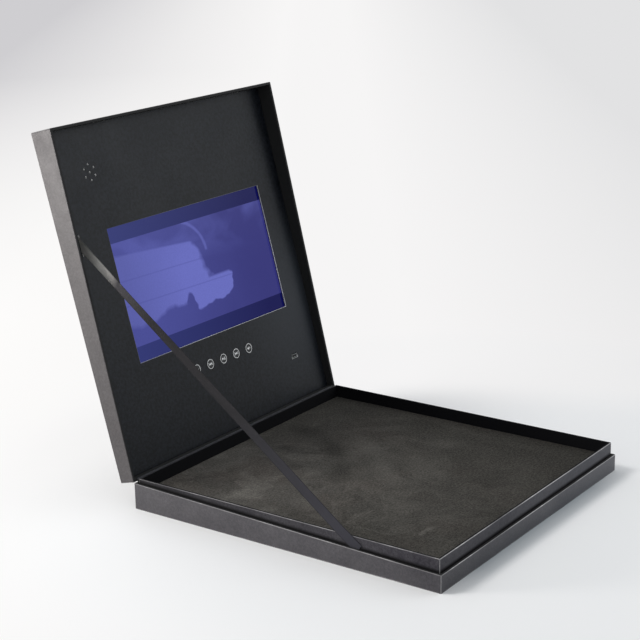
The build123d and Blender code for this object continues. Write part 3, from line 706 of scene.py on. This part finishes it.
def tube_of_rings(name, rings, spread=None):
    """Closed solid through rings of points, with flat ends. spread gives each point's place on the flat cloth."""
    bm = bmesh.new()
    layer = bm.loops.layers.uv.new("UVMap") if spread else None
    rows = [[bm.verts.new(point) for point in ring] for ring in rings]
    for near, far in zip(rows, rows[1:]):
        band(bm, near, far)
    if spread:
        places = {vertex: place for row, flat in zip(rows, spread) for vertex, place in zip(row, flat)}
        for face in bm.faces:
            for loop in face.loops:
                loop[layer].uv = places[loop.vert]
    bm.faces.new(rows[0])
    bm.faces.new(rows[-1][::-1])
    return finish_mesh(name, bm)


def bezier(first, middle, last, share):
    """Point on a quadratic curve."""
    return first * (1 - share) ** 2 + middle * (2 * share * (1 - share)) + last * share ** 2


# Foam pad

PAD_STEPS = 96
PAD_ROLL = 2.2 * MM
PAD_CROWN = 0.55 * MM
PAD_WAVE = 0.28 * MM
PAD_SIDE_WAVE = 0.12 * MM
PAD_SIDE_LEVELS = (0.85, 0.5, 0.0)


def graded(count, half):
    """Places from -half to half, closer together near the ends."""
    shares = (2 * index / count - 1 for index in range(count + 1))
    return [half * math.copysign(1 - (1 - abs(share)) ** 1.35, share) for share in shares]


def pad_top(bm, centre, half):
    """Grid of vertices of the pad's top: rolled towards the edges and slightly uneven."""
    grid = []
    for y in graded(PAD_STEPS, half.y):
        row = []
        for x in graded(PAD_STEPS, half.x):
            edge = min(half.x - abs(x), half.y - abs(y))
            roll = max(0.0, 1 - edge / PAD_ROLL)
            wave = noise.noise(Vector((x * 22, y * 22, 4.1))) + 0.5 * noise.noise(Vector((x * 60, y * 60, 9.3)))
            drop = PAD_CROWN * roll ** 2 + PAD_WAVE * (0.5 - 0.35 * wave)
            row.append(bm.verts.new((centre.x + x, centre.y + y, PAD_HIGH.z - drop)))
        grid.append(row)
    return grid


def foam_piece():
    """Foam pad with rolled edges and a slightly uneven top."""
    centre = (PAD_LOW + PAD_HIGH) / 2
    bm = bmesh.new()
    grid = pad_top(bm, centre, (PAD_HIGH - PAD_LOW) / 2)
    for near, far in zip(grid, grid[1:]):
        for column in range(PAD_STEPS):
            bm.faces.new((near[column], near[column + 1], far[column + 1], far[column]))
    border = grid[0][:-1] + [row[-1] for row in grid[:-1]] + grid[-1][:0:-1] + [row[0] for row in grid[:0:-1]]
    upper = border
    for level in PAD_SIDE_LEVELS:
        lower = []
        for vertex in border:
            pull = abs(PAD_SIDE_WAVE * noise.noise(vertex.co * 90))
            x = vertex.co.x - math.copysign(pull, vertex.co.x - centre.x)
            y = vertex.co.y - math.copysign(pull, vertex.co.y - centre.y)
            lower.append(bm.verts.new((x, y, PAD_LOW.z + (PAD_HIGH.z - PAD_LOW.z) * level)))
        band(bm, upper, lower)
        upper = lower
    bm.faces.new(upper)
    pad = piece("foam", finish_mesh("foam", bm, 50), foam())
    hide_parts("foam_pad")
    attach(pad, "base")


# Ribbon stay

RIBBON_ROWS = 110
RIBBON_COLUMNS = 10
RIBBON_STEPS = (6, RIBBON_ROWS, 2, 1, 2, 8)
# Turn of the free run about its own line, which grows towards the slit
RIBBON_TWIST = math.radians(-26)
RIBBON_CUP = 0.22 * MM
RIBBON_WAVER = 0.5 * MM
# Share of the thickness on each side of the middle, by columns from the edge
RIBBON_SIDES = {0: 0.3, 1: 0.58}
RIBBON_BODY = 0.5
# Rows of the free run where the pieces meet, and how far the middle one's turn reaches past its ends
RIBBON_SEAMS = (6, 101)
RIBBON_LEAD = 0.06
# In millimetres: what rests on the rim, and what stays with the base and with the lid
RIBBON_REST = 5
RIBBON_HELD = (3, 8)


def ribbon_stations(rim, slit, along):
    """Middle, width and facing where the ribbon's run changes: anchor, rim, slit, fold behind it, and tail."""
    across = Vector((0, -along.z, along.y))
    side = Vector((1, 0, 0))
    up_panel = (opened(0, -1, 0) - opened(0, 0, 0)).normalized()
    inward = (opened(0, 0, 1) - opened(0, 0, 0)).normalized()
    rise = abs(across.dot(up_panel))
    slant = up_panel * (RIBBON_WIDTH / rise)
    drift = math.sqrt(1 - rise ** 2) / rise
    behind = SLIT_FROM_REAR + (PANEL_BACK - PANEL_FACE) * drift
    back_level = PANEL_BACK + 0.6 * RIBBON_THICKNESS
    tail_run = RIBBON_TAIL * rise
    tail_end = opened(SLIT_X + tail_run, from_rear(behind + tail_run * drift), back_level)
    return [
        (rim - along * ANCHOR_DROP, across * RIBBON_WIDTH, side),
        (rim + along * RIBBON_REST * MM, across * RIBBON_WIDTH, side),
        (slit, slant, side),
        (opened(SLIT_X, from_rear(behind), PANEL_BACK), slant, side),
        (opened(SLIT_X + 0.3 * MM, from_rear(behind), back_level), slant, (side + inward).normalized()),
        (opened(SLIT_X + 1.6 * MM, from_rear(behind), back_level), slant, inward),
        (tail_end, slant, inward),
    ]


def ribbon_ring(middle, width, normal, free, length):
    """Points round the ribbon's section, and their places on the flat ribbon."""
    ring = []
    flat = []
    for face in (1, -1):
        for index in range(RIBBON_COLUMNS + 1)[::face]:
            u = index / RIBBON_COLUMNS
            thick = RIBBON_THICKNESS * RIBBON_SIDES.get(min(index, RIBBON_COLUMNS - index), RIBBON_BODY)
            cup = RIBBON_CUP * free * (1 - (2 * u - 1) ** 2)
            ring.append(middle + width * (u - 0.5) + normal * (cup + face * thick))
            flat.append((u * RIBBON_WIDTH, length))
    return ring, flat


def ribbon_rings(stations, along):
    """Rings along the whole ribbon, and each ring's places on the flat ribbon."""
    side = Vector((1, 0, 0))
    square = RIBBON_SEAMS[1] / RIBBON_ROWS
    rings = []
    length = 0.0
    for span, ((start, wide, face), (end, next_wide, next_face)) in enumerate(zip(stations, stations[1:])):
        steps = RIBBON_STEPS[span]
        last = span == len(RIBBON_STEPS) - 1
        for step in range(steps + (1 if last else 0)):
            share = step / steps
            middle = start.lerp(end, share)
            # The free run's rings stay square to it up to the upper seam, where its pieces have to meet
            width = wide.lerp(next_wide, max(0.0, (share - square) / (1 - square)) if span == 1 else share)
            normal = face.lerp(next_face, share).normalized()
            free = math.sin(math.pi * share) if span == 1 else 0.0
            if free:
                width = Matrix.Rotation(RIBBON_TWIST * share ** 2 * free ** 0.6, 3, along) @ width
                normal = width.cross(along).normalized()
                if normal.dot(side) < 0:
                    normal = -normal
                middle = middle + side * (RIBBON_WAVER * free * noise.noise(Vector((share * 5, 2.3, 0))))
            rings.append(ribbon_ring(middle, width, normal, free, length))
            length += (end - start).length / steps
    return zip(*rings)


def ribbon_piece():
    """Woven ribbon from between the base's walls, over the shoulder and through the slit to its glued tail.

    It is three pieces, which meet at two rows of its free run."""
    slit = opened(SLIT_X, from_rear(SLIT_FROM_REAR), PANEL_FACE)
    rim = Vector((RIM_POINT_X, from_rear(RIM_POINT_FROM_REAR), SHOULDER_HEIGHT))
    along = Vector((0, slit.y - rim.y, slit.z - rim.z)).normalized()
    rings, spread = ribbon_rings(ribbon_stations(rim, slit, along), along)
    start = rim + along * RIBBON_HELD[0] * MM
    run = slit - along * RIBBON_HELD[1] * MM - start
    seams = [RIBBON_STEPS[0] + row for row in RIBBON_SEAMS]
    low, high = ((rings[row][0] - start).dot(run) / run.length_squared for row in seams)
    low_turn, high_turn = ((share + RIBBON_LEAD) / (1 + 2 * RIBBON_LEAD) for share in (low, high))
    cloth = ribbon_cloth()
    for name, first, last, turn_from, turn_to in (
        ("ribbon", *seams, -RIBBON_LEAD, 1 + RIBBON_LEAD),
        ("ribbon_foot", 0, seams[0], 0.0, low / low_turn),
        ("ribbon_head", seams[1], len(rings) - 1, 1 - (1 - high) / (1 - high_turn), 1.0),
    ):
        mesh = tube_of_rings(name, rings[first:last + 1], spread[first:last + 1])
        part = piece(name, mesh, cloth)
        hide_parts("ribbon_stay")
        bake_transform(part)


# Hinge strips

def strip_piece(name, path, thickness, material, node):
    """Thin paper strip along the hinge, whose cross-section follows a path, bent with the lid."""
    normals = []
    for index in range(len(path)):
        run = (path[min(index + 1, len(path) - 1)] - path[max(index - 1, 0)]).normalized()
        normals.append(Vector((0, -run.z, run.y)) * (thickness / 2))
    outline = [point + normal for point, normal in zip(path, normals)]
    outline += [point - normal for point, normal in reversed(list(zip(path, normals)))]
    rings = []
    for step in range(STRIP_STEPS + 1):
        x = STRIP_LENGTH * (step / STRIP_STEPS - 0.5)
        rings.append([Vector((x, 0, 0)) + point for point in outline])
    strip = piece(name, tube_of_rings(name, rings), material)
    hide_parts(node)
    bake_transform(strip)


def hinge_pieces():
    """Paper strips outside and inside the hinge, each with a rounded fold."""
    lower = PIVOT - Vector((0, 0, MM))
    upper = opened(0, PIVOT.y, PIVOT.z + MM)
    path = [Vector((0, PIVOT.y, PIVOT.z - leg)) for leg in (HINGE_LEG, HINGE_LEG / 2)]
    path += [bezier(lower, PIVOT, upper, step / 8) for step in range(9)]
    path += [opened(0, PIVOT.y, PIVOT.z + leg) for leg in (HINGE_LEG / 2, HINGE_LEG)]
    outside = plain_paper("hinge_paper", "2c2b2e", "454348", 0.5)
    strip_piece("hinge_outside", path, PAPER, outside, "hinge_strip_outer")

    slope = (REAR_RIM - FRONT_RIM) / DEPTH
    drop = RIM_GAP / 2 - INNER_STRIP / 2 - INNER_STRIP_SEAT
    inner = HIGH.y - OUTER_WALL
    near = HIGH.y - INNER_STRIP_BRIDGE
    places = [(y, REAR_RIM - slope * (HIGH.y - y)) for y in (inner, (inner + near) / 2, near)]
    base_leg = [Vector((0, y, level - drop)) for y, level in places]
    lid_leg = [opened(0, y, level + drop) for y, level in reversed(places)]
    valley = PIVOT - Vector((0, 0.1 * MM, 0.1 * MM))
    bridge = [bezier(base_leg[-1], valley, lid_leg[0], step / 6) for step in range(1, 6)]
    inside = plain_paper("hinge_lining", "4c4d52", "66686e", 0.55, crease_shade=True)
    strip_piece("hinge_inside", base_leg + bridge + lid_leg, INNER_STRIP, inside, "hinge_strip_inner")


# Printed buttons

# In millimetres from a button's centre
RING_OUTER = 4.6
RING_INNER = 4.1
RING_STEPS = 64
PRINT_THICKNESS = 0.03


def bar(x0, x1, y0, y1):
    """Upright rectangle."""
    return [(x0, y0), (x1, y0), (x1, y1), (x0, y1)]


def arrow(x, reach):
    """Triangle from its upright side at x to its tip at x + reach."""
    return [(x, -1.5), (x + reach, 0.0), (x, 1.5)]


def loudspeaker(x):
    """Generic loudspeaker sign."""
    return [(x, -0.65), (x + 0.9, -0.65), (x + 2.2, -1.7), (x + 2.2, 1.7), (x + 0.9, 0.65), (x, 0.65)]


MINUS = bar(0.5, 2.3, -0.25, 0.25)
SIGNS = (
    [loudspeaker(-2.3), MINUS],
    [bar(-2.7, -2.2, -1.5, 1.5), arrow(0.1, -2.2), arrow(2.4, -2.2)],
    [arrow(-2.2, 2.4), bar(0.7, 1.3, -1.5, 1.5), bar(1.8, 2.4, -1.5, 1.5)],
    [arrow(-2.4, 2.2), arrow(-0.1, 2.2), bar(2.2, 2.7, -1.5, 1.5)],
    [loudspeaker(-2.3), MINUS, bar(1.15, 1.65, 0.25, 0.9), bar(1.15, 1.65, -0.9, -0.25)],
)


def print_place(x, u, v, lift):
    """Place on a button's face, from millimetres right and up of its centre."""
    level = PANEL_FACE - BUTTON_PROUD - lift * MM
    return opened(x + u * MM, from_rear(BUTTON_FROM_REAR) - v * MM, level)


def printed_shape(bm, x, outline):
    """Thin raised print of one outline."""
    back, front = ([bm.verts.new(print_place(x, u, v, lift)) for u, v in outline]
                   for lift in (0.0, PRINT_THICKNESS))
    bm.faces.new(back)
    bm.faces.new(front[::-1])
    band(bm, back, front)


def printed_ring(bm, x):
    """Thin raised ring round a button's sign."""
    turns = [2 * math.pi * step / RING_STEPS for step in range(RING_STEPS)]
    rows = []
    for radius, lift in ((RING_OUTER, 0.0), (RING_OUTER, PRINT_THICKNESS), (RING_INNER, PRINT_THICKNESS),
                         (RING_INNER, 0.0)):
        rows.append([bm.verts.new(print_place(x, radius * math.cos(turn), radius * math.sin(turn), lift))
                     for turn in turns])
    for near, far in zip(rows, rows[1:] + rows[:1]):
        band(bm, near, far)


def button_prints():
    """Rings and signs on the five buttons."""
    ink = speckled("white_ink", "fafafa", "ffffff", 0.55, 1600, 0.01)
    first = WINDOW_X - BUTTON_PITCH * (BUTTON_COUNT - 1) / 2
    for index, (sign, name, button) in enumerate(zip(SIGNS, numbered("button_print"), numbered("button"))):
        x = first + BUTTON_PITCH * index
        bm = bmesh.new()
        printed_ring(bm, x)
        for outline in sign:
            printed_shape(bm, x, outline)
        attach(piece(name, finish_mesh(name, bm), ink), button)


# Floor, backdrop, lamps and camera

BACKDROP = "eceeef"
FLOOR_REACH = 12.0


def floor_backdrop(shade, where, away):
    """The backdrop as the floor shows it, with painted light and shade by its place on the floor and its distance
    from the box.
    """
    sideways = shade.vector("DOT_PRODUCT", where, (0.58, -0.815, 0))
    # Painted light and shade: brighter towards -X and +Y, greyer towards +X and -Y, and darker far out towards -X
    # and +Y
    far = shade.mix(shade.span(sideways, -0.45, -0.1), "fdfcfb", "f6f5f5")
    far = shade.mix(shade.span(sideways, 0.05, 0.58), far, "e2e2e3")
    corner = shade.times(shade.span(sideways, -0.15, -0.9), shade.span(away, 0.7, 2.8))
    far = shade.mix(corner, far, "cfced1")
    return shade.mix(shade.span(away, 5.0, 10.0), far, BACKDROP)


def studio():
    """Pale floor, lit near the box, with painted light and a painted shadow at the front wall's foot, that shows
    the studio's backdrop colour farther away and over the lid's shadow.
    """
    shade = Shader("studio_floor", Roughness=0.95, Specular_IOR_Level=0.1)
    where = shade.place()
    x, y, _ = shade.axes(where)
    # Painted light: the floor near the box is paler towards +X and the front
    near = shade.mix(shade.span(shade.minus(x, y), -0.3, 0.5, smooth=True), "f8f8f8", "ffffff")
    # Painted shadow at the foot of the front wall
    foot = shade.times(
        shade.span(y, -DEPTH / 2 - 0.022, -DEPTH / 2), shade.math("LESS_THAN", y, 0.0),
        shade.span(x, -WIDTH / 2, -WIDTH / 2 + 0.06), shade.span(x, WIDTH / 2 + 0.01, WIDTH / 2 - 0.05))
    near = shade.mix(shade.times(foot, 0.8), near, "aeb8be")
    shade.set(shade.surface, Base_Color=shade.mix(shade.times(shade.noise(where, 3), 0.1), near, "f4f4f4"))
    far = floor_backdrop(shade, where, shade.vector("LENGTH", where))
    painted_light = shade.set(shade.add("Emission"), Color=far, Strength=1.0)
    apart = shade.span(shade.vector("DISTANCE", where, (0.03, -0.06, 0)), 0.27, 0.52, smooth=True)
    # Painted light: behind and beside the box the floor shows the backdrop where the lid's shadow falls
    rear = shade.span(y, 0.18, 0.30, 0.0, 0.6, smooth=True)
    beside = shade.span(shade.plus(x, shade.times(y, 0.5)), 0.22, 0.36, 0.0, 0.85, smooth=True)
    share = shade.times(shade.showing(), shade.most(apart, rear, beside))
    shade.set(shade.output, Surface=shade.blend(share, shade.surface, painted_light))
    mesh = bpy.data.meshes.new("studio_floor")
    corners = [(x * FLOOR_REACH, y * FLOOR_REACH, 0) for x, y in ((-1, -1), (1, -1), (1, 1), (-1, 1))]
    mesh.from_pydata(corners, [], [(0, 1, 2, 3)])
    floor = piece("studio_floor", mesh, shade.material)
    floor.location.z = LOW.z - 0.1 * MM


def backdrop():
    """World that gives soft light, and shows the backdrop's colour to camera, gloss and glass."""
    world = bpy.data.worlds.new("studio")
    bpy.context.scene.world = world
    nodes = Nodes(world)
    light = nodes.set(nodes.add("Background"), Color=(0.94, 0.97, 1.0, 1), Strength=0.5)
    seen = nodes.set(nodes.add("Background"), Color=BACKDROP, Strength=1.0)
    nodes.set(nodes.add("OutputWorld"), Surface=nodes.blend(nodes.showing(), light, seen))


def lamp(name, place, aim, size, power, tint=(1, 1, 1)):
    """Soft lamp at a place, turned to a point."""
    data = bpy.data.lights.new(name, "AREA")
    data.shape = "RECTANGLE"
    data.size, data.size_y = size
    data.energy = power
    data.color = tint
    obj = linked(name, data)
    obj.location = place
    obj.rotation_mode = "QUATERNION"
    obj.rotation_quaternion = (Vector(aim) - Vector(place)).to_track_quat("-Z", "Y")


CAMERA_PLACE = Vector((-1.17646, -0.77209, 0.5777))
CAMERA_HEADING = math.radians(55.676)
CAMERA_DOWN = math.radians(17.706)
CAMERA_ROLL = math.radians(-0.603)
CAMERA_LENS = 93.048
CAMERA_SHIFT = (-0.0495, 0.0556)


def camera():
    """Camera at the photograph's viewpoint, from its heading east of north, its tilt and its roll."""
    ahead = Vector((
        math.sin(CAMERA_HEADING) * math.cos(CAMERA_DOWN),
        math.cos(CAMERA_HEADING) * math.cos(CAMERA_DOWN),
        -math.sin(CAMERA_DOWN)))
    level = ahead.cross(Vector((0, 0, 1))).normalized()
    upright = level.cross(ahead)
    right = level * math.cos(CAMERA_ROLL) + upright * math.sin(CAMERA_ROLL)
    up = right.cross(ahead)
    data = bpy.data.cameras.new("camera")
    data.lens = CAMERA_LENS
    data.sensor_width = 36.0
    data.shift_x, data.shift_y = CAMERA_SHIFT
    data.clip_start = 0.01
    obj = linked("camera", data)
    turn = Matrix((right, up, -ahead)).transposed()
    obj.matrix_world = Matrix.Translation(CAMERA_PLACE) @ turn.to_4x4()
    bpy.context.scene.camera = obj


camera()

# Finishes of the CAD pieces
base_rims = (REAR_RIM - RIM_GAP / 2, FRONT_RIM - RIM_GAP / 2)
lid_rims = (REAR_RIM + RIM_GAP / 2, FRONT_RIM + RIM_GAP / 2)
shoulder_rims = (SHOULDER_HEIGHT, SHOULDER_HEIGHT)
tray_width = TRAY_HIGH.x - TRAY_LOW.x
tray_depth = TRAY_HIGH.y - TRAY_LOW.y
dress(wrap_paper("outer_wrap", "302d34", "eeecec", "050507", WIDTH, DEPTH, base_rims, LOW.z), "base_wrap")
dress(wrap_paper("shoulder_wrap", "35333a", "eeecec", "09090c", tray_width, tray_depth, shoulder_rims, LOW.z,
                 gloss=0.12, painted_rear_shade=0.5, foot=base_rims), "inner_tray_wrap")
dress(wrap_paper("lid_cover", "332e30", "c8c6c6", "07080a", WIDTH, DEPTH, lid_rims, CLOSED_HEIGHT,
                 rim_wear_and_highlight=0.06, in_lid=True), "lid_wrap")
dress(plain_paper("underside_paper", "29272a", "403d40", 0.6), "base_underside_paper")
dress(greyboard("board"), "base_board_tray", "inner_tray_board", "lid_board_tray", "panel_spacers")
dress(greyboard("window_board", PANEL_FACE + 0.6 * MM), "screen_panel_board")
dress(panel_paper(), "screen_panel_paper")
dress(plain_paper("button_card", "141719", "1d2023", 0.5, 2200), *numbered("button_cap"))
dress(lit_screen(), "lcd_glass")
dress(brushed("steel_sheet", "85878a", "b4b6b8", 0.34), "lcd_frame", "usb_socket_shell")
dress(brushed("aluminium_sheet", "a9abad", "cfd1d3", 0.3), "lcd_back_plate")
dress(brushed("nickel_magnet", "9b9a96", "c9c8c4", 0.22, (30, 30, 30)), "switch_magnet", "speaker_magnet")
dress(brushed("tinned_wire", "a5a6a8", "d0d1d3", 0.25, (1, 60, 60)), "reed_leads")
dress(speckled("backlight_plastic", "e4e5e3", "f2f3f1", 0.5), "lcd_backlight")
dress(speckled("adhesive_foam", "55564f", "6b6c64", 0.9, 700, 0.08),
      "lcd_tape", "main_board_pads", "speaker_pad", "battery_tape")
dress(circuit_board(), "button_board", "main_board", "reed_board")
dress(speckled("black_plastic", "17181a", "242628", 0.42),
      "switch_housings", "main_board_chips", "usb_socket_tongue", "speaker_frame", *numbered("switch_plunger"))
dress(speckled("white_plastic", "dcdbd5", "ecebe6", 0.4), "battery_plug", "speaker_plug", "lcd_cable_socket")
dress(flat_cable(), "lcd_flat_cable", "button_flat_cable")
dress(speckled("cone_paper", "d6d6d4", "e8e8e6", 0.85, 1200, 0.05), "speaker_cone")
dress(brushed("cell_foil", "a7a9ab", "c6c8ca", 0.38, (6, 6, 6)), "battery_cell")
dress(speckled("red_lead", "8e1414", "a81c1c", 0.4, 600, 0.01), "battery_lead_red", "speaker_lead_red")
dress(speckled("black_lead", "161617", "222224", 0.4, 600, 0.01), "battery_lead_black", "speaker_lead_black")
dress(reed_glass(), "reed_switch")

foam_piece()
ribbon_piece()
hinge_pieces()
button_prints()
studio()
backdrop()
lamp("side", (-1.0, 1.0, 0.2), (-0.15, 0.2, 0.2), (0.35, 0.3), 11.5, (1.0, 0.955, 0.935))
lamp("high", (-0.7, 0.9, 1.5), (0, 0, 0), (0.5, 0.5), 12.5, (1.0, 0.99, 0.97))
lamp("rear", (0.3, 1.4, 1.0), (0, 0, 0.1), (1.0, 0.8), 2.5)
lamp("front", (1.2, -1.3, 0.9), (0, 0, 0.1), (1.2, 1.0), 5.6, (0.92, 0.96, 1.0))
bpy.context.scene.view_settings.view_transform = "Standard"
